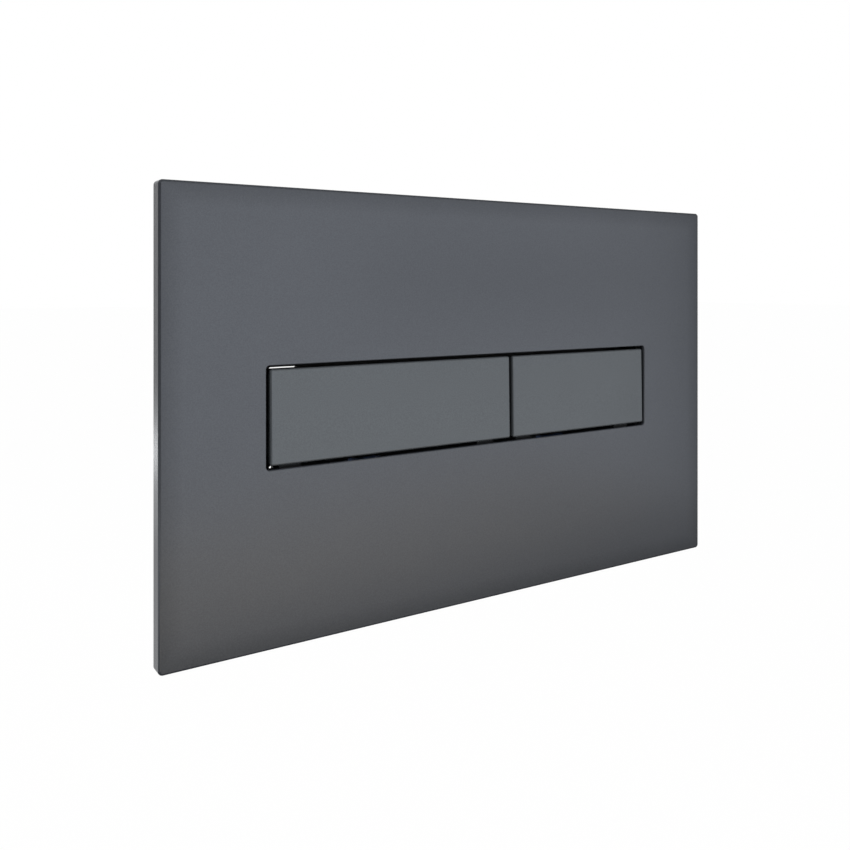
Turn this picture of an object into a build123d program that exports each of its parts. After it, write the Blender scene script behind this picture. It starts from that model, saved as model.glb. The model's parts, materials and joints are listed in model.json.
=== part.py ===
from build123d import *

import os
from math import cos, pi, radians, sin

# A flush button plate for a concealed cistern: a slim wall plate with a large and a small button,
# the hinge and spring work behind them, the frame that holds the plate on the wall, and the rods
# that carry each press into the wall.
#
# Millimetres. X runs to the right, Y into the wall and Z up. The origin is at the middle of the
# plate on the face of the wall, so the front of the plate looks along -Y.

# Face plate
plate_width = 250.0
plate_height = 155.0
plate_depth = 5.5
face_wall = 2.0
rim_wall = 2.0
plate_corner_radius = 1.5
plate_edge_radius = 0.8
opening_inset = 35.75
opening_corner_radius = 1.3
opening_edge_chamfer = 0.25
lip_wall = 1.2
lip_depth = 2.0
plate_rib_wall = 1.2
plate_rib_height = 2.4

# Buttons
large_button_share = 0.582
button_height = 32.2
button_gap = 1.4
cap_wall = 2.0
skirt_wall = 1.4
skirt_depth = 5.0
button_corner_radius = 0.9
button_edge_radius = 0.6
button_rib_wall = 1.2
button_rib_height = 1.8
button_rib_pitch = 15.0
button_rib_drop = 4.2
rest_tilt = 1.0
press_angle = 12.0

# Catches that stop a button at rest behind the lip of the opening
catch_width = 8.0
catch_wall = 1.6
catch_reach = 2.6
catch_inset = 9.0
catch_clearance = 0.25

# Hinges
hinge_drop = 4.5
hinge_setback = 5.5
pin_radius = 1.25
pin_recess = 0.4
pin_fit = 0.02
hinge_clearance = 0.06
ear_radius = 3.2
ear_boss = 2.0
lug_radius = 2.6
lug_width = 4.0
side_clearance = 0.3

# Torsion springs, with a whole number of turns and a half, wound in short straight stretches
spring_wire = 0.8
spring_steps = 8
spring_radius = 2.2
spring_whole_turns = 3
spring_pitch = 0.95
spring_front_leg = 11.0
spring_rear_leg = 8.0
spring_clearance = 0.2
spring_pad_width = 3.0

# Button carrier
carrier_side_flange = 6.25
carrier_top_flange = 20.5
carrier_setback = 2.0
carrier_wall = 2.0
carrier_corner_radius = 3.0
tray_clearance = 2.2
tray_wall = 1.8
tray_depth = 6.0
tray_slot_margin = 24.0
tray_slot_width = 3.0
tray_slot_height = 10.0
tray_slot_rise = 2.0
tray_slot_pitch = 7.5

# Screws that hold the carrier to the bosses of the face plate
screw_inset = 7.25
screw_rise = 9.5
screw_radius = 1.45
screw_length = 6.4
screw_head_radius = 2.8
screw_head_height = 1.7
screw_hole_clearance = 0.25
boss_wall = 2.0
pilot_clearance = 0.05
pilot_spare = 0.6

# Snap hooks on the carrier
hook_offset = 62.0
hook_width = 10.0
hook_wall = 1.5
hook_gap = 1.5
hook_depth = 7.0
hook_catch = 2.0
hook_clearance = 0.3

# Rubber stops under the buttons
bumper_width = 6.0
bumper_height = 2.6
bumper_offset = 12.5
bumper_seat = 1.0
bumper_fit = 0.05
bumper_clearance = 0.3

# Frame on the wall, which it meets with its raised border
frame_side_gap = 3.0
frame_top_gap = 6.5
frame_wall = 2.3
frame_border = 6.0
frame_relief = 0.3
frame_corner_radius = 4.0
frame_clearance = 1.25
frame_rib_wall = 2.0
frame_rib_height = 5.0
frame_rib_overhang = 1.25
frame_rib_offset = 11.0
strap_width = 14.0
strap_wall = 3.0
strap_offset = 5.0
strap_corner_radius = 4.0
strap_clearance = 1.2
sleeve_radius = 5.5
sleeve_length = 11.0
gusset_wall = 2.0
gusset_reach = 9.0

# Fixing bolts, with a neck for the forked clip that keeps each one in its slot
bolt_radius = 3.0
bolt_neck_radius = 2.6
bolt_neck_spare = 0.3
bolt_length = 55.0
bolt_head_flats = 10.0
bolt_head_height = 4.0
bolt_slot_clearance = 0.3
bolt_slot_length = 14.0
retainer_width = 12.0
retainer_wall = 1.0
retainer_fit = 0.03
pocket_width = 13.5
pocket_height = 22.0
pocket_wall = 1.6
pocket_floor = 2.5
pocket_gap = 0.4

# Push rods, with a cross for their section
rod_offset = 45.0
rod_rise = 4.5
rod_radius = 3.0
rod_web = 1.8
rod_end = 75.0
rod_play = 0.25
guide_clearance = 0.08
foot_radius = 3.0
foot_width = 10.0

# Adjusting heads and clips of the push rods
head_radius = 6.0
head_facets = 12
head_length = 8.0
head_floor = 2.0
head_fit = 0.03
head_hole_clearance = 0.5
clip_width = 9.0
clip_wall = 0.8
clip_fit = 0.05
clip_clearance = 0.4
groove_width = 3.6
groove_spare = 0.15

# Places that follow from the sizes above
front_y = -plate_depth
face_back_y = front_y + face_wall
lip_back_y = face_back_y + lip_depth
opening_width = plate_width - 2 * opening_inset
opening_height = button_height + 2 * button_gap
buttons_width = opening_width - 3 * button_gap
large_button_width = large_button_share * buttons_width
small_button_width = buttons_width - large_button_width
large_button_x = -opening_width / 2 + button_gap + large_button_width / 2
small_button_x = opening_width / 2 - button_gap - small_button_width / 2
cap_back_y = front_y + cap_wall
skirt_back_y = front_y + skirt_depth
button_bottom_z = -button_height / 2
hinge_y = front_y + hinge_setback
hinge_z = button_height / 2 - hinge_drop
foot_z = button_bottom_z + rod_rise
rod_arm = hinge_z - foot_z
carrier_width = opening_width + 2 * carrier_side_flange
carrier_height = opening_height + 2 * carrier_top_flange
carrier_back_y = carrier_setback + carrier_wall
tray_width = opening_width + 2 * tray_clearance
tray_height = opening_height + 2 * tray_clearance
tray_floor_y = carrier_setback + tray_depth
tray_back_y = tray_floor_y + carrier_wall
hook_arm_z = carrier_height / 2 + hook_gap + hook_wall
frame_width = plate_width - 2 * (rim_wall + frame_side_gap)
frame_height = plate_height - 2 * (rim_wall + frame_top_gap)
ring_back_y = -frame_relief
frame_window_width = carrier_width + 2 * frame_clearance
frame_window_height = 2 * (hook_arm_z + hook_clearance)
bolt_x = frame_window_width / 2 + pocket_gap + pocket_wall + pocket_width / 2
rod_travel = rod_arm * radians(press_angle)
head_front_y = hinge_y - rod_arm * sin(radians(rest_tilt)) + foot_radius + rod_play
head_back_y = head_front_y + head_length
strap_front_y = head_back_y + rod_travel + strap_clearance
strap_back_y = strap_front_y + strap_wall
sleeve_back_y = strap_front_y + sleeve_length
pocket_floor_y = -frame_wall + bolt_head_height
pocket_back_y = pocket_floor_y + pocket_floor
retainer_back_y = pocket_back_y + retainer_wall
clip_y = sleeve_back_y + clip_clearance
spring_turns = spring_whole_turns + 0.5
screw_head_y = carrier_back_y
screw_x = opening_width / 2 - screw_inset
screw_z = opening_height / 2 + screw_rise
screw_places = [(x, z) for x in (-screw_x, screw_x) for z in (-screw_z, screw_z)]

# The lower edge of a pressed button, where the rubber stops meet it
pressed = radians(press_angle - rest_tilt)
hinge_to_bottom = hinge_z - button_bottom_z
stop_y = hinge_y + (skirt_back_y - hinge_y) * cos(pressed) + hinge_to_bottom * sin(pressed)
stop_z = hinge_z + (skirt_back_y - hinge_y) * sin(pressed) - hinge_to_bottom * cos(pressed)


def slab(width, height, y_low, y_high, radius=0.0, x=0.0, z=0.0):
    """A block with its outline in the plane of the wall, from y_low to y_high."""
    outline = RectangleRounded(width, height, radius) if radius else Rectangle(width, height)
    return extrude(Plane.XZ.offset(-y_high) * Pos(x, z) * outline, y_high - y_low)


def rod_along_y(radius, y_low, y_high, x=0.0, z=0.0):
    """A round bar that points into the wall."""
    return extrude(Plane.XZ.offset(-y_high) * Pos(x, z) * Circle(radius), y_high - y_low)


def bar_along_x(profile, x_middle, length):
    """A profile drawn in Y and Z, made as long as asked on both sides of x_middle."""
    return extrude(Plane.YZ.offset(x_middle - length / 2) * profile, length)


def block_profile(y_low, y_high, z_low, z_high):
    """A rectangle in Y and Z for bar_along_x."""
    middle = Pos((y_low + y_high) / 2, (z_low + z_high) / 2)
    return middle * Rectangle(y_high - y_low, z_high - z_low)


def finger_profile(radius, y_root, y_tip, z):
    """A bar from y_root with a round end about y_tip, for hinge ears, hinge lugs and pusher feet."""
    stem = block_profile(min(y_root, y_tip), max(y_root, y_tip), z - radius, z + radius)
    return stem + Pos(y_tip, z) * Circle(radius)


def make_face_plate():
    """The moulded front: a shallow tray with the opening for the buttons and bosses behind it."""
    shell = slab(plate_width, plate_height, front_y, 0, plate_corner_radius)
    shell = fillet(shell.faces().sort_by(Axis.Y)[0].edges(), plate_edge_radius)
    hollow_width = plate_width - 2 * rim_wall
    hollow_height = plate_height - 2 * rim_wall
    shell -= slab(hollow_width, hollow_height, face_back_y, 0)
    lip_width = opening_width + 2 * lip_wall
    lip_height = opening_height + 2 * lip_wall
    shell += slab(lip_width, lip_height, face_back_y, lip_back_y, opening_corner_radius + lip_wall)
    rib_back_y = face_back_y + plate_rib_height
    rib_span = (carrier_height - lip_height) / 2
    for x, z in screw_places:
        shell += rod_along_y(screw_radius + boss_wall, face_back_y, carrier_setback, x, z)
        rib_z = (lip_height / 2 + rib_span / 2) * (1 if z > 0 else -1)
        shell += slab(plate_rib_wall, rib_span, face_back_y, rib_back_y, 0, x, rib_z)
    for side in (-1, 1):
        rib_z = side * (carrier_height / 2 - plate_rib_wall / 2)
        shell += slab(carrier_width, plate_rib_wall, face_back_y, rib_back_y, 0, 0, rib_z)
    shell -= slab(opening_width, opening_height, front_y, lip_back_y, opening_corner_radius)
    mouth = shell.faces().filter_by(Axis.Y).sort_by(Axis.Y)[0].inner_wires()[0]
    shell = chamfer(mouth.edges(), opening_edge_chamfer)
    pilot_y = screw_head_y - screw_length - pilot_spare
    for x, z in screw_places:
        shell -= rod_along_y(screw_radius + pilot_clearance, pilot_y, carrier_setback, x, z)
    return shell


def make_button(width, x_middle, rod_x):
    """A hollow moulded button with its hinge ears, ribs, pusher foot and catches, tilted to its rest."""
    button = slab(width, button_height, front_y, skirt_back_y, button_corner_radius, x_middle)
    button = fillet(button.faces().sort_by(Axis.Y)[0].edges(), button_edge_radius)
    inner_width = width - 2 * skirt_wall
    inner_height = button_height - 2 * skirt_wall
    button -= slab(inner_width, inner_height, cap_back_y, skirt_back_y, 0, x_middle)

    # Ribs across the back of the cap, clear of the hinge and of the springs
    rib_top_z = hinge_z - button_rib_drop
    rib_bottom_z = button_bottom_z + skirt_wall
    rib_profile = block_profile(cap_back_y, cap_back_y + button_rib_height, rib_bottom_z, rib_top_z)
    rib_count = int((inner_width - 2 * button_rib_pitch) / button_rib_pitch)
    for index in range(rib_count + 1):
        rib_x = x_middle + (index - rib_count / 2) * button_rib_pitch
        button += bar_along_x(rib_profile, rib_x, button_rib_wall)
    long_rib_y = cap_back_y + button_rib_height / 2
    long_rib = block_profile(cap_back_y, long_rib_y, rib_top_z - button_rib_wall, rib_top_z)
    button += bar_along_x(long_rib, x_middle, (rib_count + 1) * button_rib_pitch)

    # Hinge ears, catches and spring pads at both ends, allowing for the tilt at rest
    tilt = sin(radians(rest_tilt))
    ear_width = skirt_wall + ear_boss
    ear = finger_profile(ear_radius, cap_back_y, hinge_y, hinge_z)
    catch_front_y = lip_back_y + catch_clearance + (hinge_to_bottom + catch_reach) * tilt
    catch_back_y = catch_front_y + catch_wall
    catch_root = block_profile(cap_back_y, catch_back_y, button_bottom_z, button_bottom_z + skirt_wall)
    catch_nose = block_profile(catch_front_y, catch_back_y, button_bottom_z - catch_reach, button_bottom_z)
    pad_z = hinge_z - spring_front_leg
    leg_front_y = hinge_y - spring_radius - spring_wire / 2
    pad_back_y = leg_front_y - spring_clearance + spring_front_leg * tilt
    pad = block_profile(cap_back_y, pad_back_y, pad_z, pad_z + spring_pad_width)
    for side in (-1, 1):
        end_x = x_middle + side * width / 2
        button += bar_along_x(ear, end_x - side * ear_width / 2, ear_width)
        button += bar_along_x(catch_root + catch_nose, end_x - side * catch_inset, catch_width)
        button += bar_along_x(pad, spring_start(end_x, side) - side * spring_wire / 2, spring_pad_width)
    foot = finger_profile(foot_radius, cap_back_y, hinge_y, foot_z)
    button += bar_along_x(foot, rod_x, foot_width)
    bore = Pos(hinge_y, hinge_z) * Circle(pin_radius + hinge_clearance)
    button -= bar_along_x(bore, x_middle, width)
    hinge = Pos(0, hinge_y, hinge_z)
    return hinge * Rot(-rest_tilt, 0, 0) * hinge.inverse() * button


def lug_middle(end_x, side):
    """Where the hinge lug beside one end of a button has its middle."""
    return end_x - side * (skirt_wall + ear_boss + side_clearance + lug_width / 2)


def spring_start(end_x, side):
    """The end of a torsion spring's coil that lies beside the hinge lug."""
    return lug_middle(end_x, side) - side * (lug_width / 2 + side_clearance)


def make_torsion_spring(width, x_middle, side):
    """A coil round the hinge pin with one leg on the button and one on the carrier."""
    start_x = spring_start(x_middle + side * width / 2, side)
    first_x = start_x - side * spring_wire / 2
    points = [(first_x, hinge_y - spring_radius, hinge_z - spring_front_leg)]
    for index in range(int(spring_turns * spring_steps) + 1):
        turn = index / spring_steps
        coil_x = first_x - side * spring_pitch * turn
        coil_y = hinge_y - spring_radius * cos(2 * pi * turn)
        coil_z = hinge_z + spring_radius * sin(2 * pi * turn)
        points.append((coil_x, coil_y, coil_z))
    points.append((coil_x, hinge_y + spring_radius, hinge_z - spring_rear_leg))
    path = Polyline(points)
    leg_end = Plane(origin=points[0], x_dir=(1, 0, 0), z_dir=(0, 0, 1))
    return sweep(leg_end * Rectangle(spring_wire, spring_wire), path, transition=Transition.RIGHT)


def make_hinge_pin(width, x_middle):
    """The steel wire that a button turns on."""
    return bar_along_x(Pos(hinge_y, hinge_z) * Circle(pin_radius), x_middle, width - 2 * pin_recess)


def make_hook(side):
    """The outline of a snap hook: back from the carrier, round, and forward to its catch."""
    leg_z = carrier_height / 2
    root_y = carrier_back_y + hook_depth
    tip_y = ring_back_y + hook_clearance
    slope = hook_catch / 2
    points = [
        (carrier_setback, leg_z),
        (carrier_setback, leg_z - hook_wall),
        (root_y, leg_z - hook_wall),
        (root_y, hook_arm_z),
        (tip_y + 2 * hook_catch, hook_arm_z),
        (tip_y + slope + hook_clearance, hook_arm_z + hook_catch),
        (tip_y + slope, hook_arm_z + hook_catch),
        (tip_y, hook_arm_z),
        (tip_y, hook_arm_z - hook_wall),
        (root_y - hook_wall, hook_arm_z - hook_wall),
        (root_y - hook_wall, leg_z),
    ]
    return make_face(Polyline([(y, side * z) for y, z in points], close=True))


def make_button_carrier():
    """The moulded tray behind the opening, which carries both hinges and snaps into the frame."""
    carrier = slab(carrier_width, carrier_height, carrier_setback, carrier_back_y, carrier_corner_radius)
    outer_width = tray_width + 2 * tray_wall
    outer_height = tray_height + 2 * tray_wall
    carrier += slab(outer_width, outer_height, carrier_back_y, tray_back_y)
    carrier -= slab(tray_width, tray_height, carrier_setback, tray_floor_y)
    lug = finger_profile(lug_radius, tray_floor_y, hinge_y, hinge_z)
    seat_y = hinge_y + spring_radius + spring_wire / 2 + spring_clearance
    seat_z = hinge_z - spring_rear_leg
    seat = block_profile(seat_y, tray_floor_y, seat_z, seat_z + spring_pad_width)
    for width, x_middle, rod_x in buttons:
        slot_count = int((width - 2 * tray_slot_margin) / tray_slot_pitch)
        for index in range(slot_count):
            slot_x = x_middle + (index - (slot_count - 1) / 2) * tray_slot_pitch
            slot_size = (tray_slot_width, tray_slot_height)
            carrier -= slab(*slot_size, tray_floor_y, tray_back_y, 0, slot_x, tray_slot_rise)
        head_hole = 2 * (head_radius + head_hole_clearance)
        carrier -= slab(head_hole, head_hole, tray_floor_y, tray_back_y, 0, rod_x, foot_z)
        for side in (-1, 1):
            end_x = x_middle + side * width / 2
            seat_x = spring_start(end_x, side) - side * (spring_wire / 2 + spring_turns * spring_pitch)
            carrier += bar_along_x(lug, lug_middle(end_x, side), lug_width)
            carrier += bar_along_x(seat, seat_x, spring_pad_width)
    carrier -= bar_along_x(Pos(hinge_y, hinge_z) * Circle(pin_radius + pin_fit), 0, opening_width)
    for x, z in screw_places:
        carrier -= rod_along_y(screw_radius + screw_hole_clearance, carrier_setback, carrier_back_y, x, z)
    for x, z in bumper_places:
        seat_width = bumper_width + 2 * bumper_fit
        seat_height = bumper_height + 2 * bumper_fit
        carrier -= slab(seat_width, seat_height, tray_floor_y, tray_floor_y + bumper_seat, 0, x, z)
    for x in (-hook_offset, hook_offset):
        for side in (-1, 1):
            carrier += bar_along_x(make_hook(side), x, hook_width)
    return carrier


def make_screw(x, z):
    """A pan-head screw, driven from behind the carrier."""
    shank = rod_along_y(screw_radius, screw_head_y - screw_length, screw_head_y, x, z)
    return shank + rod_along_y(screw_head_radius, screw_head_y, screw_head_y + screw_head_height, x, z)


def make_bumper(x, z):
    """A rubber stop, pressed into its seat in the floor of the tray."""
    return slab(bumper_width, bumper_height, stop_y + bumper_clearance, tray_floor_y + bumper_seat, 0, x, z)


def make_mounting_frame():
    """The frame on the wall: a flat ring with bolt pockets, stiffening ribs and two guide straps."""
    frame = slab(frame_width, frame_height, -frame_wall, 0, frame_corner_radius)
    relief_width = frame_width - 2 * frame_border
    relief_height = frame_height - 2 * frame_border
    frame -= slab(relief_width, relief_height, ring_back_y, 0)
    strap_inner_z = frame_window_height / 2 + strap_offset
    strap_outer_z = strap_inner_z + strap_wall
    strap_inner = block_profile(ring_back_y, strap_front_y, -strap_inner_z, strap_inner_z)
    strap = block_profile(ring_back_y, strap_back_y, -strap_outer_z, strap_outer_z)
    strap = fillet(strap.vertices().sort_by(Axis.X)[-2:], strap_corner_radius)
    strap -= fillet(strap_inner.vertices().sort_by(Axis.X)[-2:], strap_corner_radius - strap_wall / 2)
    for rod_x in (-rod_offset, rod_offset):
        frame += bar_along_x(strap, rod_x, strap_width)
        frame += rod_along_y(sleeve_radius, strap_front_y, sleeve_back_y, rod_x, foot_z)
        for side in (-1, 1):
            gusset = Polyline(
                (strap_back_y, foot_z),
                (sleeve_back_y - gusset_wall, foot_z),
                (strap_back_y, foot_z + side * (sleeve_radius + gusset_reach)),
                close=True,
            )
            frame += bar_along_x(make_face(gusset), rod_x, gusset_wall)
        frame -= rod_along_y(rod_radius + guide_clearance, strap_front_y, sleeve_back_y, rod_x, foot_z)
    frame_rib_length = frame_window_width + 2 * frame_rib_overhang
    for side in (-1, 1):
        rib_z = side * (frame_window_height / 2 + frame_rib_offset)
        frame += slab(frame_rib_length, frame_rib_wall, ring_back_y, frame_rib_height, 0, 0, rib_z)
    frame -= slab(frame_window_width, frame_window_height, -frame_wall, ring_back_y, carrier_corner_radius)
    outer_width = pocket_width + 2 * pocket_wall
    outer_height = pocket_height + 2 * pocket_wall
    slot_width = 2 * (bolt_radius + bolt_slot_clearance)
    for x in bolt_places:
        frame += slab(outer_width, outer_height, ring_back_y, pocket_back_y, 0, x)
        frame -= slab(pocket_width, pocket_height, -frame_wall, pocket_floor_y, 0, x)
        slot = Pos(x, 0) * Rot(0, 0, 90) * SlotOverall(bolt_slot_length, slot_width)
        frame -= extrude(Plane.XZ.offset(-pocket_back_y) * slot, pocket_floor)
    return frame


def make_fixing_bolt(x):
    """A long hexagon bolt that ties the frame to the cistern, with a slim neck in the slot."""
    neck_end_y = retainer_back_y + bolt_neck_spare
    head = Pos(x, 0) * RegularPolygon(bolt_head_flats / 2, 6, major_radius=False)
    bolt = extrude(Plane.XZ.offset(-pocket_floor_y) * head, bolt_head_height)
    bolt += rod_along_y(bolt_neck_radius, pocket_floor_y, neck_end_y, x)
    return bolt + rod_along_y(bolt_radius, neck_end_y, pocket_floor_y + bolt_length, x)


def make_fork(width, mouth, y_low, y_high, x, z):
    """A flat square clip, open at its lower side, that is pushed over a neck or groove."""
    clip = slab(width, width, y_low, y_high, 0, x, z)
    return clip - slab(mouth, width, y_low, y_high, 0, x, z - (width - mouth) / 2)


def make_bolt_retainer(x):
    """The forked clip on a bolt's neck, behind the slot."""
    mouth = 2 * (bolt_neck_radius + retainer_fit)
    return make_fork(retainer_width, mouth, pocket_back_y, retainer_back_y, x, 0)


def make_push_rod(rod_x):
    """A moulded rod with a cross for its section and a groove for its clip."""
    web_length = 2 * (rod_radius**2 - (rod_web / 2) ** 2) ** 0.5
    start_y = head_front_y + head_floor + head_fit
    rod = slab(web_length, rod_web, start_y, rod_end, 0, rod_x, foot_z)
    rod += slab(rod_web, web_length, start_y, rod_end, 0, rod_x, foot_z)
    groove_low = clip_y - groove_spare
    groove_high = clip_y + clip_wall + groove_spare
    collar = slab(web_length, web_length, groove_low, groove_high, 0, rod_x, foot_z)
    return rod - (collar - slab(groove_width, groove_width, groove_low, groove_high, 0, rod_x, foot_z))


def make_rod_head(rod_x):
    """The faceted head that a button's foot presses on, turned along the rod to set its length."""
    outline = Pos(rod_x, foot_z) * RegularPolygon(head_radius, head_facets)
    head = extrude(Plane.XZ.offset(-head_back_y) * outline, head_length)
    return head - rod_along_y(rod_radius + head_fit, head_front_y + head_floor, head_back_y, rod_x, foot_z)


def make_rod_clip(rod_x):
    """The forked clip in the groove of a rod, behind the guide sleeve."""
    mouth = groove_width + 2 * clip_fit
    return make_fork(clip_width, mouth, clip_y, clip_y + clip_wall, rod_x, foot_z)


buttons = [
    (large_button_width, large_button_x, -rod_offset),
    (small_button_width, small_button_x, rod_offset),
]
bumper_places = [
    (rod_x + side * bumper_offset, stop_z) for _, _, rod_x in buttons for side in (-1, 1)
]
bolt_places = (-bolt_x, bolt_x)

pieces = {
    "face_plate": make_face_plate(),
    "button_carrier": make_button_carrier(),
    "carrier_screws": Compound([make_screw(x, z) for x, z in screw_places]),
    "press_bumpers": Compound([make_bumper(x, z) for x, z in bumper_places]),
    "mounting_frame": make_mounting_frame(),
    "left_fixing_bolt": make_fixing_bolt(bolt_places[0]),
    "right_fixing_bolt": make_fixing_bolt(bolt_places[1]),
    "bolt_retainers": Compound([make_bolt_retainer(x) for x in bolt_places]),
}
for size, (width, x_middle, rod_x) in zip(("large", "small"), buttons):
    pieces[f"{size}_button"] = make_button(width, x_middle, rod_x)
    pieces[f"{size}_hinge_pin"] = make_hinge_pin(width, x_middle)
    pieces[f"{size}_left_spring"] = make_torsion_spring(width, x_middle, -1)
    pieces[f"{size}_right_spring"] = make_torsion_spring(width, x_middle, 1)
    pieces[f"{size}_push_rod"] = make_push_rod(rod_x)
    pieces[f"{size}_rod_head"] = make_rod_head(rod_x)
    pieces[f"{size}_rod_clip"] = make_rod_clip(rod_x)

os.makedirs("parts", exist_ok=True)
for name, shape in pieces.items():
    export_step(shape, f"parts/{name}.step")
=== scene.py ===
# %% [markdown]
# # A flush button plate
# The object is a slim wall plate for a concealed cistern. A wide and a narrow button sit flush in one
# opening. Behind them are a black carrier with hinges and springs, a grey wall frame, two long bolts
# and two push rods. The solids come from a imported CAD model, so this scene adds what CAD leaves out:
# screw threads, round spring wire, softened edges, finishes, light and a camera.

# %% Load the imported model
import json
import math

import bpy
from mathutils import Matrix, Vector

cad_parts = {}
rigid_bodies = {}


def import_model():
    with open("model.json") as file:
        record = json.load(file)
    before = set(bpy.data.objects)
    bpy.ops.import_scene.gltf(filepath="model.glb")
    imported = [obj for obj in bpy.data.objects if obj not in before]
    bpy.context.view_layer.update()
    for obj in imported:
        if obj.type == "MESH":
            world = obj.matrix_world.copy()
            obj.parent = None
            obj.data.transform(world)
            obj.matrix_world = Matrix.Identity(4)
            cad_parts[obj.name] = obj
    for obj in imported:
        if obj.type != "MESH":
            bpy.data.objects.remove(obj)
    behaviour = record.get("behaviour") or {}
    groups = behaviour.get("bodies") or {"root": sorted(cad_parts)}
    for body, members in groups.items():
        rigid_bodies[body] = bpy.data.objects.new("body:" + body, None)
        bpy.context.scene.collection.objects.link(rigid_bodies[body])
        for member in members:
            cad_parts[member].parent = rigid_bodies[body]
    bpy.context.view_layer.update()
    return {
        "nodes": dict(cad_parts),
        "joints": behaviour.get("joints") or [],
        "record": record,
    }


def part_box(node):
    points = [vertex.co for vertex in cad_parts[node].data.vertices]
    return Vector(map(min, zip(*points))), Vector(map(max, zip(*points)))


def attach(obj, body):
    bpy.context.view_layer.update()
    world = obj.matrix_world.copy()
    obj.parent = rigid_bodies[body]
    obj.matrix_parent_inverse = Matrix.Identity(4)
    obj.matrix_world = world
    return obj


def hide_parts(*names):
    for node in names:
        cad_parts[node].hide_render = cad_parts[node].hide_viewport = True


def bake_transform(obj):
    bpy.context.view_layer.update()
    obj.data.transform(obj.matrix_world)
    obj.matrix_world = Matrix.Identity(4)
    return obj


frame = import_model()
MM = 0.001

# %% [markdown]
# ## Helpers for finishes
# Paint and plastic colours are quoted as sRGB hex values, while shaders add up linear light, so one
# function converts them. A second function adds a shader node, sets it and links it in one go. A third
# one starts a material and hands back its main shader together with the object's own coordinates. Two
# more turn a pattern into a mix of two tones, and the width of its grains into a texture scale.

# %% Colour, node and material helpers
def linear(hex_colour):
    """Give the linear colour of an sRGB hex value."""
    parts = [int(hex_colour[i:i + 2], 16) / 255 for i in (1, 3, 5)]
    return [p / 12.92 if p <= 0.04045 else ((p + 0.055) / 1.055) ** 2.4 for p in parts] + [1.0]


def add_node(tree, kind, inputs, **settings):
    """Add a node: settings are its own properties, inputs are values or sockets to link."""
    node = tree.nodes.new(kind)
    for name, value in settings.items():
        setattr(node, name, value)
    for name, value in inputs.items():
        if isinstance(value, bpy.types.NodeSocket):
            tree.links.new(value, node.inputs[name])
        else:
            node.inputs[name].default_value = value
    return node


def start_material(name, **values):
    """Make a material and set constant values on its shader, such as Roughness or IOR."""
    material = bpy.data.materials.new(name)
    material.use_nodes = True
    tree = material.node_tree
    shader = tree.nodes["Principled BSDF"]
    for socket, value in values.items():
        shader.inputs[socket.replace("_", " ")].default_value = value
    place = add_node(tree, "ShaderNodeTexCoord", {}).outputs["Object"]
    return material, tree, shader, place


def two_tones(tree, factor, dark, light, low=0.0, high=1.0):
    """Give a colour that goes from a dark to a light tone while the factor goes from low to high."""
    ramp = add_node(tree, "ShaderNodeValToRGB", {"Fac": factor})
    for stop, position, tone in zip(ramp.color_ramp.elements, (low, high), (dark, light)):
        stop.position, stop.color = position, linear(tone)
    return ramp.outputs["Color"]


def per_metre(size_mm):
    """Give the texture scale for a pattern whose grains are this many millimetres wide."""
    return 1.0 / (size_mm * MM)


print("middle grey in linear light:", [round(v, 3) for v in linear("#808080")])

# %% [markdown]
# ## Painted shade along the rim and in the gaps
# The plate and the buttons are moulded in ABS and sprayed with lacquer. The plate grows darker towards
# its rim, and this darkening is painted shade. Behind the front face, the walls of the buttons and of
# the opening are darkened as well, which is painted shade in the gaps; the back of the plate darkens the
# same way. Such shades could be painted on by hand, but they follow the outline, so they are worked
# out from the object's own coordinates: from the distance to the rim and the depth behind the front.

# %% Painted shade on the lacquer
def from_rim(tree, place, half_width, half_height, width, at_rim, inside):
    """Give a factor that goes from one value at the rim of a panel to another, this far inside it."""
    axes = add_node(tree, "ShaderNodeSeparateXYZ", {"Vector": place})
    distances = []
    for axis, half in (("X", half_width), ("Z", half_height)):
        out = add_node(tree, "ShaderNodeMath", {0: axes.outputs[axis]}, operation="ABSOLUTE")
        left = add_node(tree, "ShaderNodeMath", {0: half, 1: out.outputs["Value"]}, operation="SUBTRACT")
        distances.append(left.outputs["Value"])
    nearest = add_node(tree, "ShaderNodeMath", {0: distances[0], 1: distances[1], 2: width / 2},
                       operation="SMOOTH_MIN")
    factor = add_node(tree, "ShaderNodeMapRange", {"Value": nearest.outputs["Value"], "From Min": 0.0,
                                                   "From Max": width, "To Min": at_rim, "To Max": inside})
    return factor.outputs["Result"]


def painted_gap_shade(tree, place, front, depth, tone):
    """Give a factor of painted shade that goes from one at the front to the given tone, this far behind."""
    axes = add_node(tree, "ShaderNodeSeparateXYZ", {"Vector": place})
    reach = add_node(tree, "ShaderNodeMapRange", {"Value": axes.outputs["Y"], "From Min": front,
                                                  "From Max": front + depth, "To Min": 1.0, "To Max": tone})
    return reach.outputs["Result"]


plate_low, plate_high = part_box("face_plate")
# painted shade in the gaps starts here and reaches its full depth this far behind
gap_shade_front = plate_low.y + 0.6 * MM
gap_shade_depth = 1.0 * MM
gap_shade_tone = 0.3


def plate_shade(tree, place):
    """Darken the plate's rim and the walls inside it behind the front face, as painted shade."""
    # painted shade: the plate darkens towards its rim
    painted_rim_shade = from_rim(tree, place, plate_high.x, plate_high.z, width=8.0 * MM, at_rim=0.76, inside=1.0)
    # painted shade in the gaps: darker behind the front face, but not on the plate's outer rim
    gap_shade_tones = from_rim(tree, place, plate_high.x, plate_high.z, width=2.0 * MM, at_rim=1.0, inside=gap_shade_tone)
    reach = painted_gap_shade(tree, place, gap_shade_front, gap_shade_depth, gap_shade_tones)
    return add_node(tree, "ShaderNodeMath", {0: painted_rim_shade, 1: reach}, operation="MULTIPLY").outputs["Value"]


def button_shade(tree, place):
    """Darken the walls of the buttons behind the front edge, as painted shade in the gaps."""
    return painted_gap_shade(tree, place, gap_shade_front, gap_shade_depth, gap_shade_tone)


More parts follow.
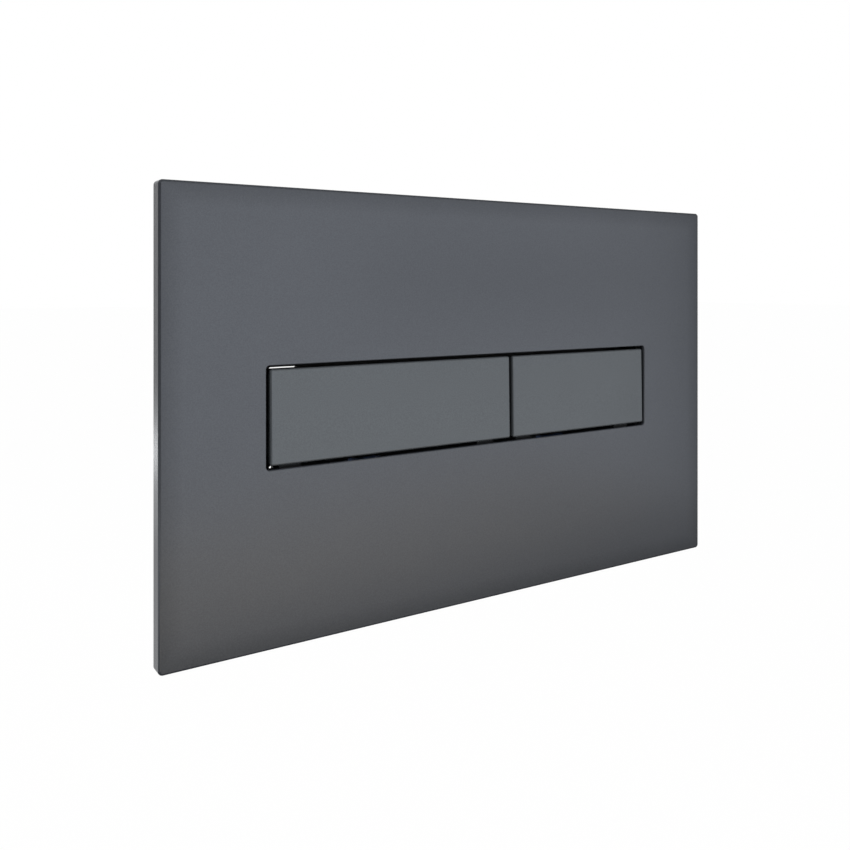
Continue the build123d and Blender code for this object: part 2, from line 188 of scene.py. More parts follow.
# prints where the painted shade in the gaps starts and ends
print("painted gap shade from Y", round(gap_shade_front / MM, 2), "to", round((gap_shade_front + gap_shade_depth) / MM, 2))

# %% [markdown]
# ## Satin anthracite lacquer on ABS
# The lacquer is satin and holds fine metallic pigment. The eye sees a calm, slightly blue dark grey
# with a soft sheen and a very fine grain. The pigment is only some hundredths of a millimetre across,
# so it is drawn at 0.4 mm to show at all, and the slight orange peel of sprayed paint is drawn 1.6 mm
# wide. The buttons come out of the spray booth a tone lighter and get no painted shade along a rim, so
# the recipe takes its two tones and its painted shade as values.

# %% Lacquer
def satin_lacquer(name, dark, light, shade):
    """Make a sprayed satin lacquer whose pigment lies between two near tones, darkened by painted shade."""
    material, tree, shader, place = start_material(name, IOR=1.5, Metallic=0.55)
    pigment = add_node(tree, "ShaderNodeTexNoise", {"Vector": place, "Scale": per_metre(0.4), "Detail": 1.0})
    tint = two_tones(tree, pigment.outputs["Fac"], dark, light, 0.3, 0.7)
    # the tint is darkened by the painted shade
    shaded = add_node(tree, "ShaderNodeVectorMath", {0: tint, "Scale": shade(tree, place)},
                      operation="SCALE")
    tree.links.new(shaded.outputs["Vector"], shader.inputs["Base Color"])
    spray = add_node(tree, "ShaderNodeTexNoise", {"Vector": place, "Scale": per_metre(14.0), "Detail": 2.0})
    sheen = add_node(tree, "ShaderNodeMapRange",
                     {"Value": spray.outputs["Fac"], "To Min": 0.20, "To Max": 0.25})
    tree.links.new(sheen.outputs["Result"], shader.inputs["Roughness"])
    peel = add_node(tree, "ShaderNodeTexNoise", {"Vector": place, "Scale": per_metre(1.6), "Detail": 2.0})
    bump = add_node(tree, "ShaderNodeBump",
                    {"Height": peel.outputs["Fac"], "Strength": 0.10, "Distance": 0.03 * MM})
    tree.links.new(bump.outputs["Normal"], shader.inputs["Normal"])
    return material


plate_lacquer = satin_lacquer("satin_anthracite_lacquer_on_plate", "#555960", "#5d6168", plate_shade)
button_lacquer = satin_lacquer("satin_anthracite_lacquer_on_buttons", "#5a5f64", "#62676c", button_shade)
print(plate_lacquer.name, button_lacquer.name)

# %% [markdown]
# ## Moulded plastics
# The carrier is black ABS, the wall frame grey ABS, the push rods and bolt clips white acetal and the
# adjusting heads blue acetal. All come out of an eroded mould, which leaves a fine even texture, and a
# slight cloudiness where the melt flowed. They differ in colour, texture and gloss, so one recipe
# makes them all. The mould's texture is about 0.1 mm wide and is drawn at 0.5 mm.

# %% Plastics
def moulded_plastic(name, dark, light, roughness, texture_height_mm):
    """Make a mould-textured plastic whose colour drifts between two near tones."""
    material, tree, shader, place = start_material(name, IOR=1.48)
    flow = add_node(tree, "ShaderNodeTexNoise", {"Vector": place, "Scale": per_metre(22.0), "Detail": 3.0})
    tone = two_tones(tree, flow.outputs["Fac"], dark, light, 0.3, 0.7)
    tree.links.new(tone, shader.inputs["Base Color"])
    gloss = add_node(tree, "ShaderNodeMapRange",
                     {"Value": flow.outputs["Fac"], "To Min": roughness - 0.05, "To Max": roughness + 0.05})
    tree.links.new(gloss.outputs["Result"], shader.inputs["Roughness"])
    texture = add_node(tree, "ShaderNodeTexNoise", {"Vector": place, "Scale": per_metre(0.5), "Detail": 1.5})
    bump = add_node(tree, "ShaderNodeBump", {"Height": texture.outputs["Fac"], "Strength": 0.35,
                                             "Distance": texture_height_mm * MM})
    tree.links.new(bump.outputs["Normal"], shader.inputs["Normal"])
    return material


black_abs = moulded_plastic("black_moulded_abs", "#1a1a1b", "#212122", 0.48, 0.06)
grey_abs = moulded_plastic("grey_moulded_abs", "#a3a5a6", "#adafb0", 0.46, 0.06)
white_acetal = moulded_plastic("white_moulded_acetal", "#dcdbd5", "#e4e3de", 0.36, 0.04)
blue_acetal = moulded_plastic("blue_moulded_acetal", "#2457a0", "#2b60ab", 0.36, 0.04)
print([m.name for m in (black_abs, grey_abs, white_acetal, blue_acetal)])

# %% [markdown]
# ## Steel and rubber
# Bolts and screws are zinc plated, which leaves a crystalline, slightly mottled grey with a soft
# shine. Springs, hinge pins and rod clips are hard drawn wire and strip with fine lines along the draw
# and a darker tone. The bumpers are black rubber, matt and faintly dusty. The mottling of zinc is
# drawn 1.2 mm wide, and draw lines, which are finer than a hair, are drawn 0.25 mm wide.

# %% Metals and rubber
zinc, tree, shader, place = start_material("zinc_plated_steel", Metallic=1.0)
spangle = add_node(tree, "ShaderNodeTexVoronoi", {"Vector": place, "Scale": per_metre(1.2)})
tone = two_tones(tree, spangle.outputs["Color"], "#b4b6b6", "#c8cac9")
tree.links.new(tone, shader.inputs["Base Color"])
dull = add_node(tree, "ShaderNodeMapRange",
                {"Value": spangle.outputs["Color"], "To Min": 0.28, "To Max": 0.40})
tree.links.new(dull.outputs["Result"], shader.inputs["Roughness"])

spring_steel, tree, shader, place = start_material("hard_drawn_spring_steel", Metallic=1.0)
along = add_node(tree, "ShaderNodeMapping", {"Vector": place, "Scale": (0.08, 1.0, 1.0)})
lines = add_node(tree, "ShaderNodeTexNoise", {"Vector": along.outputs["Vector"], "Scale": per_metre(0.25),
                                              "Detail": 2.0})
tone = two_tones(tree, lines.outputs["Fac"], "#8f9192", "#b9bbbb")
tree.links.new(tone, shader.inputs["Base Color"])
dull = add_node(tree, "ShaderNodeMapRange", {"Value": lines.outputs["Fac"], "To Min": 0.22, "To Max": 0.38})
tree.links.new(dull.outputs["Result"], shader.inputs["Roughness"])

rubber, tree, shader, place = start_material("black_moulded_rubber", Roughness=0.78, IOR=1.52)
dust = add_node(tree, "ShaderNodeTexNoise", {"Vector": place, "Scale": per_metre(0.6), "Detail": 3.0})
tone = two_tones(tree, dust.outputs["Fac"], "#161616", "#2a2a2a")
tree.links.new(tone, shader.inputs["Base Color"])
print([m.name for m in (zinc, spring_steel, rubber)])

# %% [markdown]
# ## A finish for every CAD piece
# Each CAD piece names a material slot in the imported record. A table from slot to finish dresses them
# all, and the new pieces below use the same table.

# %% Dress the CAD pieces
finishes = {
    "anthracite_lacquer": plate_lacquer,
    "black_plastic": black_abs,
    "grey_plastic": grey_abs,
    "white_plastic": white_acetal,
    "blue_plastic": blue_acetal,
    "zinc_steel": zinc,
    "spring_steel": spring_steel,
    "black_rubber": rubber,
}
slot_of = {part["node"]: part["material_slot"] for part in frame["record"]["subparts"]}
body_of = {node: body for body, nodes in frame["record"]["behaviour"]["bodies"].items() for node in nodes}
for name, node in frame["nodes"].items():
    node.data.materials.clear()
    node.data.materials.append(button_lacquer if name.endswith("button") else finishes[slot_of[name]])
print("dressed:", len(slot_of))

# %% [markdown]
# ## Helpers for modelling
# An operator works on whatever is selected, so each piece starts with nothing selected. Points are
# picked in code by where they are. A finished piece gets its place put into its mesh, takes the finish
# of the CAD piece that it stands for, and rides on the same body.

# %% Modelling helpers
merge_distance = 0.002 * MM
cut_tolerance = 0.001 * MM


def select_only(*objects):
    """Select these objects and nothing else, with the first one active."""
    for other in bpy.context.view_layer.objects:
        other.select_set(other in objects)
    bpy.context.view_layer.objects.active = objects[0]


def pick(piece, test):
    """In edit mode, select the points of the piece that pass the test."""
    bpy.ops.object.mode_set(mode="OBJECT")
    for part in (piece.data.polygons, piece.data.edges, piece.data.vertices):
        for item in part:
            item.select = False
    for point in piece.data.vertices:
        point.select = test(point.co)
    bpy.ops.object.mode_set(mode="EDIT")
    bpy.ops.mesh.select_mode(type="VERT")


def apply_modifier(piece, kind, **settings):
    """Add a modifier, set it and apply it."""
    modifier = piece.modifiers.new(kind.title(), kind)
    for name, value in settings.items():
        setattr(modifier, name, value)
    bpy.ops.object.modifier_apply(modifier=modifier.name)


def finish_piece(piece, name, node, smooth_angle=30, rides=True):
    """Put the piece's place into its mesh and let it stand for the CAD piece and ride on its body."""
    select_only(piece)
    bpy.ops.object.transform_apply(location=True, rotation=True, scale=True)
    bpy.ops.object.shade_smooth_by_angle(angle=math.radians(smooth_angle))
    piece.name = piece.data.name = name
    piece.data.materials.clear()
    piece.data.materials.append(finishes[slot_of[node]])
    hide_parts(node)
    if rides:
        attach(piece, body_of[node])
    low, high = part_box(node)
    print(name, "faces:", len(piece.data.polygons),
          "box:", [round(side / MM, 2) for side in piece.dimensions],
          "CAD box:", [round(side / MM, 2) for side in high - low])


# %% [markdown]
# ## Torsion springs
# Four springs of round wire sit on the hinge pins and push the buttons back. The wire runs up behind
# the button, winds three and a half turns round the pin and runs down to the carrier's back wall. A
# curve with a bevel could make it, but here a wire-sized ring is swept round the pin by a Screw
# modifier, as a winding machine does it, and the two open ends are extruded into the straight legs.
# The coil bends when the button is pressed, so no spring rides on a body here.

# %% Wind the springs
wire_radius = 0.4 * MM
wire_corners = 12
coil_radius = 2.2 * MM
coil_pitch = 0.95 * MM
coil_turns = 3.5
coil_steps = 98
front_leg = 11.0 * MM
rear_leg = 8.0 * MM


def wind_spring(node, joint, left):
    """Wind one spring from its front leg at the outer end towards the middle of its button."""
    low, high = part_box(node)
    towards = 1 if left else -1
    start_x = low.x + wire_radius if left else high.x - wire_radius
    axis = Vector((start_x, joint["pos_m"][1], joint["pos_m"][2]))
    bpy.ops.object.select_all(action="DESELECT")
    bpy.ops.mesh.primitive_circle_add(vertices=wire_corners, radius=wire_radius, location=axis)
    spring = bpy.context.object
    bpy.ops.object.mode_set(mode="EDIT")
    bpy.ops.transform.translate(value=(0, -coil_radius, 0))
    bpy.ops.object.mode_set(mode="OBJECT")
    end_x = towards * coil_pitch * coil_turns
    apply_modifier(spring, "SCREW", axis="X", angle=-2 * math.pi * coil_turns, steps=coil_steps,
                   render_steps=coil_steps, screw_offset=end_x, use_smooth_shade=True)
    reach = 1.01 * wire_radius
    for end, y, leg in ((0.0, -coil_radius, front_leg), (end_x, coil_radius, rear_leg)):
        pick(spring, lambda p: abs(p.x - end) < reach and abs(p.y - y) < reach and abs(p.z) < 0.02 * MM)
        bpy.ops.mesh.extrude_region_move(TRANSFORM_OT_translate={"value": (0, 0, -leg)})
        bpy.ops.mesh.edge_face_add()
    bpy.ops.mesh.select_all(action="SELECT")
    bpy.ops.mesh.normals_make_consistent(inside=False)
    bpy.ops.object.mode_set(mode="OBJECT")
    finish_piece(spring, node + "_wire", node, smooth_angle=50, rides=False)
    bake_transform(spring)


hinges = {joint["child"]: joint for joint in frame["joints"] if joint["type"] == "hinge"}
for size in ("large", "small"):
    button = f"{size}_button"
    for side in ("left", "right"):
        wind_spring(f"{size}_{side}_spring", hinges[button], side == "left")

# %% [markdown]
# ## Heads of the fixing bolts
# Two M6 hexagon bolts hold the wall frame to the cistern. The corners of a bolt's head are turned off
# to a chamfer, where CAD has a plain hexagon. A bevel of the hexagon would cut its flats too, so the
# head starts as a six-sided cylinder and is crossed with a round one that has a bevelled rim. A plain
# cylinder behind it makes the neck.

# %% Head of a fixing bolt
neck_radius = 2.6 * MM
head_back = 1.7 * MM
head_chamfer = 0.75 * MM
across_flats = 10.0 * MM
thread_start = 5.5 * MM


def add_cylinder(corners, radius, length, middle, spin=0):
    """Add a cylinder along Y, unturned and unscaled, with this many corners."""
    bpy.ops.object.select_all(action="DESELECT")
    bpy.ops.mesh.primitive_cylinder_add(vertices=corners, radius=radius, depth=length, location=middle,
                                        rotation=(math.pi / 2, math.radians(spin), 0))
    bpy.ops.object.transform_apply(location=False, rotation=True, scale=False)
    return bpy.context.object


def make_head(low, middle_x, middle_z):
    """Model a hexagon head with a turned chamfer, and the neck behind it."""
    height = head_back - low.y
    middle = (middle_x, low.y + height / 2, middle_z)
    corner_radius = across_flats / math.sqrt(3)
    head = add_cylinder(6, corner_radius, height, middle, spin=30)
    turned = add_cylinder(64, 1.002 * corner_radius, height, middle)
    pick(turned, lambda p: p.y < 0)
    bpy.ops.mesh.bevel(offset=head_chamfer, offset_type="OFFSET", segments=1, affect="EDGES")
    bpy.ops.object.mode_set(mode="OBJECT")
    select_only(head)
    apply_modifier(head, "BOOLEAN", operation="INTERSECT", object=turned, solver="EXACT")
    bpy.data.objects.remove(turned)
    neck = add_cylinder(48, neck_radius, thread_start - head_back + 0.2 * MM,
                        (middle_x, (thread_start + head_back) / 2, middle_z))
    select_only(head, neck)
    bpy.ops.object.join()
    return head


print("head across corners:", round(2 * across_flats / math.sqrt(3) / MM, 2), "mm")

# %% [markdown]
# ## Threads of the fixing bolts
# CAD also left out the rolled thread. One tooth of it is drawn as a short open profile, and a Screw
# modifier repeats it along the bolt, one millimetre per turn. The ends are cut flat with bisect, and
# the last turn is tapered as on a real bolt. Thread and head are then joined.

# %% Thread of a fixing bolt
thread_pitch = 1.0 * MM
thread_radius = 3.0 * MM
root_radius = 2.4 * MM
thread_steps = 24
tip_flat = 0.1 * MM
tooth_profile = ((root_radius, 0.0), (thread_radius, 0.375), (thread_radius, 0.5), (root_radius, 0.875),
                 (root_radius, 1.0))


def make_bolt(node):
    """Model one fixing bolt along Y, with the CAD bolt's place and length."""
    low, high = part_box(node)
    middle_x, middle_z = (low.x + high.x) / 2, (low.z + high.z) / 2
    bpy.ops.object.select_all(action="DESELECT")
    bpy.ops.mesh.primitive_circle_add(vertices=5, radius=thread_radius, location=(middle_x, 0, middle_z))
    bolt = bpy.context.object
    begin = thread_start - 1.5 * thread_pitch
    for point, (radius, share) in zip(bolt.data.vertices, tooth_profile):
        point.co = (radius, begin + share * thread_pitch, 0)
    pick(bolt, lambda p: abs(p.y - begin - thread_pitch / 2) > 0.49 * thread_pitch)
    bpy.ops.mesh.delete(type="EDGE")
    bpy.ops.object.mode_set(mode="OBJECT")
    turns = math.ceil((high.y - thread_start) / thread_pitch) + 3
    apply_modifier(bolt, "SCREW", axis="Y", screw_offset=thread_pitch, iterations=turns,
                   steps=thread_steps, render_steps=thread_steps)
    bpy.ops.object.mode_set(mode="EDIT")
    bpy.ops.mesh.select_all(action="SELECT")
    bpy.ops.mesh.remove_doubles(threshold=merge_distance)
    for cut, inner in ((thread_start, True), (high.y, False)):
        bpy.ops.mesh.select_all(action="SELECT")
        bpy.ops.mesh.bisect(plane_co=(middle_x, cut, middle_z), plane_no=(0, 1, 0), use_fill=True,
                            clear_inner=inner, clear_outer=not inner, threshold=cut_tolerance)
    bpy.ops.mesh.select_all(action="SELECT")
    bpy.ops.mesh.normals_make_consistent(inside=False)
    bpy.ops.object.mode_set(mode="OBJECT")
    for point in bolt.data.vertices:
        room = root_radius + max(0.0, high.y - point.co.y - tip_flat)
        radius = math.hypot(point.co.x, point.co.z)
        if radius > room:
            point.co.x, point.co.z = point.co.x * room / radius, point.co.z * room / radius
    head = make_head(low, middle_x, middle_z)
    select_only(bolt, head)
    bpy.ops.object.join()
    finish_piece(bolt, node + "_threaded", node)


for node in ("left_fixing_bolt", "right_fixing_bolt"):
    make_bolt(node)

# %% [markdown]
# ## Carrier screws
# Four self-tapping screws hold the carrier to the bosses of the plate. A pan head is upset from wire,
# and a punch strikes its cross recess. Here a cylinder gets a round rim by bevel, the shank is
# extruded from an inset of its flat face, and a tapered cross is cut out of it for the punch.

# %% One carrier screw
screw_seat = 4.0 * MM
screw_head_radius = 2.8 * MM
screw_head_round = 1.0 * MM
shank_radius = 1.45 * MM
shank_tip_share = 0.4
recess_width = 0.8 * MM
recess_reach = 1.1 * MM
recess_depth = 1.0 * MM
recess_floor_share = 0.5


def grow_cross(piece, web, reach):
    """Extrude the four long sides of a box along Y, so that its section becomes a cross."""
    for side in (Vector((1, 0, 0)), Vector((-1, 0, 0)), Vector((0, 0, 1)), Vector((0, 0, -1))):
        pick(piece, lambda p: p.dot(side) > 0.49 * web and math.hypot(p.x, p.z) < 0.75 * web)
        bpy.ops.mesh.extrude_region_move(TRANSFORM_OT_translate={"value": side * reach})


def make_screw(low, high):
    """Model the screw at the lower left of the box of all four."""
    height = high.y - screw_seat
    x, z = low.x + screw_head_radius, low.z + screw_head_radius
    screw = add_cylinder(40, screw_head_radius, height, (x, screw_seat + height / 2, z))
    pick(screw, lambda p: p.y > 0)
    bpy.ops.mesh.bevel(offset=screw_head_round, offset_type="OFFSET", segments=5, affect="EDGES")
    pick(screw, lambda p: p.y < -0.49 * height)
    bpy.ops.mesh.inset(thickness=screw_head_radius - shank_radius)
    for reach in (screw_seat - low.y - shank_radius, shank_radius):
        bpy.ops.mesh.extrude_region_move(TRANSFORM_OT_translate={"value": (0, -reach, 0)})
    bpy.ops.transform.resize(value=(shank_tip_share, 1.0, shank_tip_share), center_override=(x, low.y, z))
    bpy.ops.object.mode_set(mode="OBJECT")
    bpy.ops.object.select_all(action="DESELECT")
    bpy.ops.mesh.primitive_cube_add(size=recess_width, location=(x, high.y, z))
    punch = bpy.context.object
    grow_cross(punch, recess_width, recess_reach)
    pick(punch, lambda p: p.y < 0)
    bpy.ops.transform.translate(value=(0, recess_width / 2 - recess_depth, 0))
    bpy.ops.transform.resize(value=(recess_floor_share, 1.0, recess_floor_share),
                             center_override=(x, high.y, z))
    bpy.ops.object.mode_set(mode="OBJECT")
    select_only(screw)
    apply_modifier(screw, "BOOLEAN", operation="DIFFERENCE", object=punch, solver="EXACT")
    bpy.data.objects.remove(punch)
    return screw


low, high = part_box("carrier_screws")
first = make_screw(low, high)
print("faces of one screw:", len(first.data.polygons))

# %% [markdown]
# ## Four screws from one
# What repeats is modelled once and copied. Each copy is turned, because no two screws stop at the same
# angle. All four are joined to one piece, as they are in CAD.

# %% Three copies of the screw
step_x = high.x - low.x - 2 * screw_head_radius
step_z = high.z - low.z - 2 * screw_head_radius
screws = [first]
for across, up, angle in ((1, 0, 20), (0, 1, 55), (1, 1, 75)):
    select_only(first)
    bpy.ops.object.duplicate_move(TRANSFORM_OT_translate={"value": (across * step_x, 0, up * step_z)})
    copy = bpy.context.object
    copy.rotation_euler.y = math.radians(angle)
    screws.append(copy)
select_only(*screws)
bpy.ops.object.join()
finish_piece(first, "carrier_screws_with_recess", "carrier_screws")

# %% [markdown]
# ## Push rods
# A push rod is moulded in white acetal with a cross for its section. A head is screwed along it to set
# its length, so the tips of the four ribs carry teeth, like a screw thread with gaps. CAD left these
# out. The cross is extruded from the sides of a long box and cut across with bisect at every tooth.
# The cut lines between the teeth are then drawn towards the axis, all at once, and so is the groove
# for the clip.

# %% Cross rods with teeth
rod_web = 1.8 * MM
rod_radius = 3.0 * MM
rod_tip = math.sqrt(rod_radius ** 2 - (rod_web / 2) ** 2)
tooth_pitch = 2.0 * MM
tooth_root = 2.35 * MM
tooth_cuts = (-0.3, -0.12, 0.12, 0.3)
groove_tip = 1.8 * MM
groove_low = 28.15 * MM
groove_high = 29.25 * MM
groove_edge = 0.01 * MM
end_taper = 1.2 * MM
end_share = 0.8


def draw_in(rod, middle, factor, test):
    """Draw the tips of the ribs towards the axis where the test on Y holds."""
    pick(rod, lambda p: max(abs(p.x), abs(p.z)) > 0.95 * rod_tip and test(p.y + middle.y))
    bpy.ops.transform.resize(value=(factor, 1.0, factor), center_override=middle)


def make_rod(node):
    """Model one push rod along Y, with the CAD rod's place and length."""
    low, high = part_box(node)
    middle, length = (low + high) / 2, high.y - low.y
    bpy.ops.object.select_all(action="DESELECT")
    bpy.ops.mesh.primitive_cube_add(size=rod_web, location=middle)
    rod = bpy.context.object
    for end in (-1, 1):
        pick(rod, lambda p: p.y * end > 0)
        bpy.ops.transform.translate(value=(0, end * (length - rod_web) / 2, 0))
    grow_cross(rod, rod_web, rod_tip - rod_web / 2)
    cuts, roots = [], []
    for index in range(int((length - 2 * tooth_pitch) / tooth_pitch)):
        root = low.y + (index + 1.5) * tooth_pitch
        if abs(root - (groove_low + groove_high) / 2) > 0.8 * tooth_pitch:
            cuts += [root + share * tooth_pitch for share in tooth_cuts]
            roots.append(root)
    inner_low, inner_high = groove_low + groove_edge, groove_high - groove_edge
    cuts += [groove_low, inner_low, inner_high, groove_high, high.y - end_taper]
    for cut in cuts:
        bpy.ops.mesh.select_all(action="SELECT")
        bpy.ops.mesh.bisect(plane_co=(middle.x, cut, middle.z), plane_no=(0, 1, 0), threshold=cut_tolerance)
    draw_in(rod, middle, tooth_root / rod_tip, lambda y: min(abs(y - r) for r in roots) < 0.13 * tooth_pitch)
    half_edge = groove_edge / 2
    draw_in(rod, middle, groove_tip / rod_tip, lambda y: inner_low - half_edge < y < inner_high + half_edge)
    draw_in(rod, middle, end_share, lambda y: y > high.y - half_edge)
    bpy.ops.object.mode_set(mode="OBJECT")
    finish_piece(rod, node + "_toothed", node)


for node in ("large_push_rod", "small_push_rod"):
    make_rod(node)

# %% [markdown]
# ## Adjusting heads
# The blue heads are turned by hand, so their rims are round and twelve flutes give the fingers a grip.
# In CAD they are plain twelve-sided prisms. A cylinder is bored by an inset and an extrusion, its
# outer points are drawn in at the flutes, and its rims are bevelled.

# %% Fluted heads
head_bore = 3.03 * MM
bore_depth = 6.0 * MM
flute_count = 12
flute_steps = ((0.2, 0.955), (0.05, 0.985))
head_rim_round = 0.5 * MM


def make_rod_head(node):
    """Model one adjusting head along Y, with its blind bore open to the back."""
    low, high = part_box(node)
    middle, length, radius = (low + high) / 2, high.y - low.y, (high.x - low.x) / 2
    head = add_cylinder(6 * flute_count, radius, length, middle)
    pick(head, lambda p: p.y > 0)
    bpy.ops.mesh.inset(thickness=radius - head_bore)
    bpy.ops.mesh.extrude_region_move(TRANSFORM_OT_translate={"value": (0, -bore_depth, 0)})
    flute = 2 * math.pi / flute_count
    for share, factor in flute_steps:
        pick(head, lambda p: math.hypot(p.x, p.z) > 0.9 * radius
             and abs((math.atan2(p.z, p.x) + flute / 2) % flute - flute / 2) < share * flute)
        bpy.ops.transform.resize(value=(factor, 1.0, factor), center_override=middle)
    pick(head, lambda p: math.hypot(p.x, p.z) > 0.9 * radius and abs(p.y) > 0.49 * length)
    bpy.ops.mesh.bevel(offset=head_rim_round, offset_type="OFFSET", segments=3, affect="EDGES")
    bpy.ops.object.mode_set(mode="OBJECT")
    finish_piece(head, node + "_fluted", node)


for node in ("large_rod_head", "small_rod_head"):
    make_rod_head(node)

# %% [markdown]
# ## Softened edges
# A moulded piece has no knife edges. The corners of its mould are rounded by some tenths of a
# millimetre, and the light catches on them. CAD keeps these edges sharp. Here a copy of the CAD mesh
# is merged from its loose triangles, its flat faces are joined again and split where they are not
# convex, so that none of them can close over a hole, and a Bevel modifier rounds every edge that is
# sharper than 40 degrees. A Weighted Normal modifier keeps the large faces flat to the eye, so that
# only the rounded edges shade.

# %% Round the edges of the mouldings
flat_angle = math.radians(1)
sharp_angle = math.radians(40)


def soften(node, width, cutters=()):
    """Replace a CAD moulding by a copy with rounded edges of this width, less the cutters."""
    cad = frame["nodes"][node]
    soft = bpy.data.objects.new(node, cad.data.copy())
    bpy.context.scene.collection.objects.link(soft)
    soft.matrix_world = cad.matrix_world
    select_only(soft)
    bpy.ops.object.transform_apply(location=True, rotation=True, scale=True)
    bpy.ops.object.mode_set(mode="EDIT")
    bpy.ops.mesh.select_all(action="SELECT")
    bpy.ops.mesh.remove_doubles(threshold=merge_distance)
    bpy.ops.mesh.dissolve_limited(angle_limit=flat_angle)
    bpy.ops.mesh.select_all(action="SELECT")
    bpy.ops.mesh.vert_connect_concave()
    bpy.ops.object.mode_set(mode="OBJECT")
    apply_modifier(soft, "BEVEL", width=width, segments=2, limit_method="ANGLE",
                   angle_limit=sharp_angle, use_clamp_overlap=True, miter_outer="MITER_ARC")
    for cutter in cutters:
        apply_modifier(soft, "BOOLEAN", operation="DIFFERENCE", object=cutter, solver="EXACT")
        bpy.data.objects.remove(cutter)
    finish_piece(soft, node + "_softened", node)
    apply_modifier(soft, "WEIGHTED_NORMAL", mode="FACE_AREA", weight=100, keep_sharp=True)


soften("mounting_frame", 0.3 * MM)
soften("bolt_retainers", 0.15 * MM)

# %% [markdown]
# ## Light through the carrier
# The photograph shows the white background through the gap at two places, a short bar above the upper
# left end of the wide button and a spot at its lower left corner. So the floor of the carrier has a
# narrow core slot above the hinge lug there, and a drain hole in the corner. CAD has neither. The two
# halves of a cylinder are drawn apart, which gives the slot its round ends, a second cylinder drills the
# hole, and both are taken out of the carrier's copy.

# %% Slot and drain hole of the carrier
floor_middle = 9.0 * MM
drill_length = 8.0 * MM
slot_width = 0.65 * MM
slot_length = 10.5 * MM
slot_centre = Vector((-77.3 * MM, floor_middle, 15.3 * MM))
drain_radius = 0.8 * MM
drain_centre = Vector((-81.9 * MM, floor_middle, -19.7 * MM))

slot_cutter = add_cylinder(24, slot_width / 2, drill_length, slot_centre)
for side in (-1, 1):
    pick(slot_cutter, lambda p: p.x * side > 0.01 * slot_width)
    bpy.ops.transform.translate(value=(side * (slot_length - slot_width) / 2, 0, 0))
bpy.ops.object.mode_set(mode="OBJECT")
drain_cutter = add_cylinder(24, drain_radius, drill_length, drain_centre)
soften("button_carrier", 0.25 * MM, cutters=(slot_cutter, drain_cutter))

# %% [markdown]
# ## Camera
# The photograph was taken a little to the left of the plate, at the height of its upper third, with a
# lens of medium angle held level, so that upright edges stay upright. The place and the lens follow
# from the slant of the plate's upper and lower edges. A small vertical shift frames the plate.

# %% Camera
turn = 32.93
camera_data = bpy.data.cameras.new("camera")
camera_data.lens = 37.30
camera_data.sensor_width = 36.0
camera_data.shift_y = -0.165
camera = bpy.data.objects.new("camera", camera_data)
camera.location = Vector((-204.2, -280.0, 44.5)) * MM
camera.rotation_euler = (math.radians(90), 0, math.radians(-turn))
bpy.context.scene.collection.objects.link(camera)
bpy.context.scene.camera = camera
print("camera at", [round(v, 3) for v in camera.location])

# %% [markdown]
# ## Floor and world
# The plate was photographed as a cut-out on white. A pale floor lies well below it, so that its shadow
# stays out of the picture. The world is a soft grey light, but the camera and all reflections see it
# white, and the floor almost white. A Light Path node tells the rays apart, so that the soft light which
# falls on the object stays grey. Rays through clear pieces count as seen too, although this object has
# no such piece.

# %% Floor and world
floor_height = -0.45
floor_whiteness = 0.985


def seen_by_camera(tree):
    """Give one for what the camera sees straight, in a reflection or through a clear piece, else zero."""
    path = add_node(tree, "ShaderNodeLightPath", {})
    seen = path.outputs["Is Camera Ray"]
    for kind in ("Is Glossy Ray", "Is Transmission Ray"):
        either = add_node(tree, "ShaderNodeMath", {0: seen, 1: path.outputs[kind]}, operation="MAXIMUM")
        seen = either.outputs["Value"]
    return seen


bpy.ops.object.select_all(action="DESELECT")
bpy.ops.mesh.primitive_plane_add(size=40.0, location=(0, 0, floor_height))
floor = bpy.context.object
floor.name = "studio_floor"
floor_paper, tree, shader = start_material("matt_white_floor_paper", Roughness=0.9,
                                           Base_Color=linear("#ebe8e4"))[:3]
white = add_node(tree, "ShaderNodeEmission", {"Color": (1, 1, 1, 1), "Strength": 1.0})
share = add_node(tree, "ShaderNodeMath", {0: seen_by_camera(tree), 1: floor_whiteness}, operation="MULTIPLY")
mixed = add_node(tree, "ShaderNodeMixShader", {0: share.outputs["Value"], 1: shader.outputs["BSDF"],
                                               2: white.outputs["Emission"]})
tree.links.new(mixed.outputs["Shader"], tree.nodes["Material Output"].inputs["Surface"])
floor.data.materials.append(floor_paper)

world = bpy.data.worlds.new("studio")
bpy.context.scene.world = world
world.use_nodes = True
tree = world.node_tree
soft = tree.nodes["Background"]
soft.inputs["Color"].default_value = (1, 1, 1, 1)
soft.inputs["Strength"].default_value = 0.5
white = add_node(tree, "ShaderNodeBackground", {"Color": (1, 1, 1, 1), "Strength": 1.0})
mixed = add_node(tree, "ShaderNodeMixShader", {0: seen_by_camera(tree), 1: soft.outputs["Background"],
                                               2: white.outputs["Background"]})
tree.links.new(mixed.outputs["Shader"], tree.nodes["World Output"].inputs["Surface"])
print("floor at", round(floor.location.z, 3))

# %% [markdown]
# ## Cards
# A photographer shapes the sheen of a satin object with matt cards that stand outside the picture. A
# brown one lies low in front, and the lower edge of the plate fades into its reflection. A cream one in
# front of it warms that fade. Dark ones at the left, at the front left and at the right draw the dark
# lines along the edges, and a grey one above does so along the top. A pale strip far at the front right
# lets the upper part of the plate grow darker towards the right. Two pale ones behind the left edge
# give it its two tones. The cards are seen in reflections only and throw no shadow.

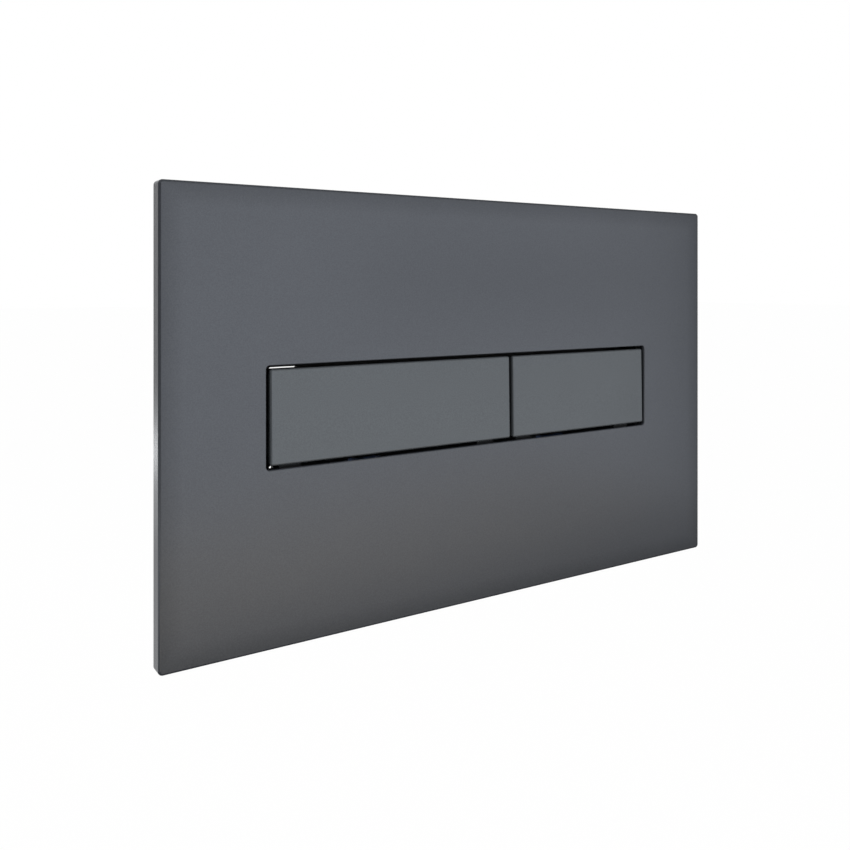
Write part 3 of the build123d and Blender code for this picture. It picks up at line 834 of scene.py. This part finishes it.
# %% Cards
def studio_card(name, colour, middle, width, height, turn):
    """Set up a matt card of this colour that shows in reflections only."""
    paper = start_material(name + "_paper", Roughness=1.0, Specular_IOR_Level=0.0,
                           Base_Color=linear(colour))[0]
    bpy.ops.object.select_all(action="DESELECT")
    bpy.ops.mesh.primitive_plane_add(size=1.0, location=middle, rotation=[math.radians(t) for t in turn])
    card = bpy.context.object
    card.name = name
    card.scale = (width, height, 1.0)
    card.data.materials.append(paper)
    card.visible_camera = card.visible_diffuse = card.visible_shadow = False


studio_card("low_front_card", "#3a342e", (0.9, -0.345, -0.44), 4.0, 1.26, (0, 0, -8))
studio_card("warm_front_card", "#fff0d8", (0.15, -1.12, -0.442), 2.5, 0.5, (0, 0, -8))
studio_card("left_card", "#303030", (-1.0, -0.5, 0.415), 1.37, 2.2, (0, 90, 0))
studio_card("front_left_card", "#101010", (-0.44, -1.6, 0.2), 1.12, 1.6, (90, 0, 0))
studio_card("right_card", "#101010", (1.5, -0.125, 0.3), 1.4, 2.05, (0, 90, 0))
studio_card("top_card", "#a0a0a0", (0.3, -1.05, 0.65), 5.0, 3.1, (0, 0, 0))
studio_card("front_right_card", "#f0f0f0", (2.575, -3.2, 0.06), 1.75, 0.24, (90, 0, 0))
studio_card("back_left_card", "#d8d8d8", (-0.9, 1.5, 0.53), 1.4, 1.44, (90, 0, 0))
studio_card("low_left_card", "#e8e8e8", (-0.6, 0.75, -0.445), 1.0, 1.5, (0, 0, 0))

# %% [markdown]
# ## Lamps
# Two large soft lamps light the front from both sides, and a third one reaches the back, so that the
# object can be looked at from all round. Reflections show the white studio and the cards instead of
# these lamps. Only a small lamp behind the left edge is mirrored there, as the short glint in the
# photograph.

# %% Lamps
def soft_lamp(name, place, aim, size, watts, mirrored=False):
    """Hang a square soft lamp that faces a point, and say whether reflections show it."""
    data = bpy.data.lights.new(name, "AREA")
    data.size, data.energy = size, watts
    lamp = bpy.data.objects.new(name, data)
    lamp.location = place
    lamp.visible_glossy = mirrored
    lamp.rotation_euler = (Vector(aim) - Vector(place)).to_track_quat("-Z", "Y").to_euler()
    bpy.context.scene.collection.objects.link(lamp)


soft_lamp("key_lamp", (0.5, -1.3, 0.9), (0, 0, 0), 1.2, 14)
soft_lamp("fill_lamp", (-1.1, -0.9, 0.5), (0, 0, 0), 1.0, 6)
soft_lamp("back_lamp", (-0.6, 1.2, 0.9), (0, 0.03, 0), 1.0, 8)
soft_lamp("edge_lamp", (-0.46, 1.13, -0.22), (-0.125, 0, -0.008), 0.06, 0.06, mirrored=True)
bpy.context.scene.view_settings.view_transform = "Standard"
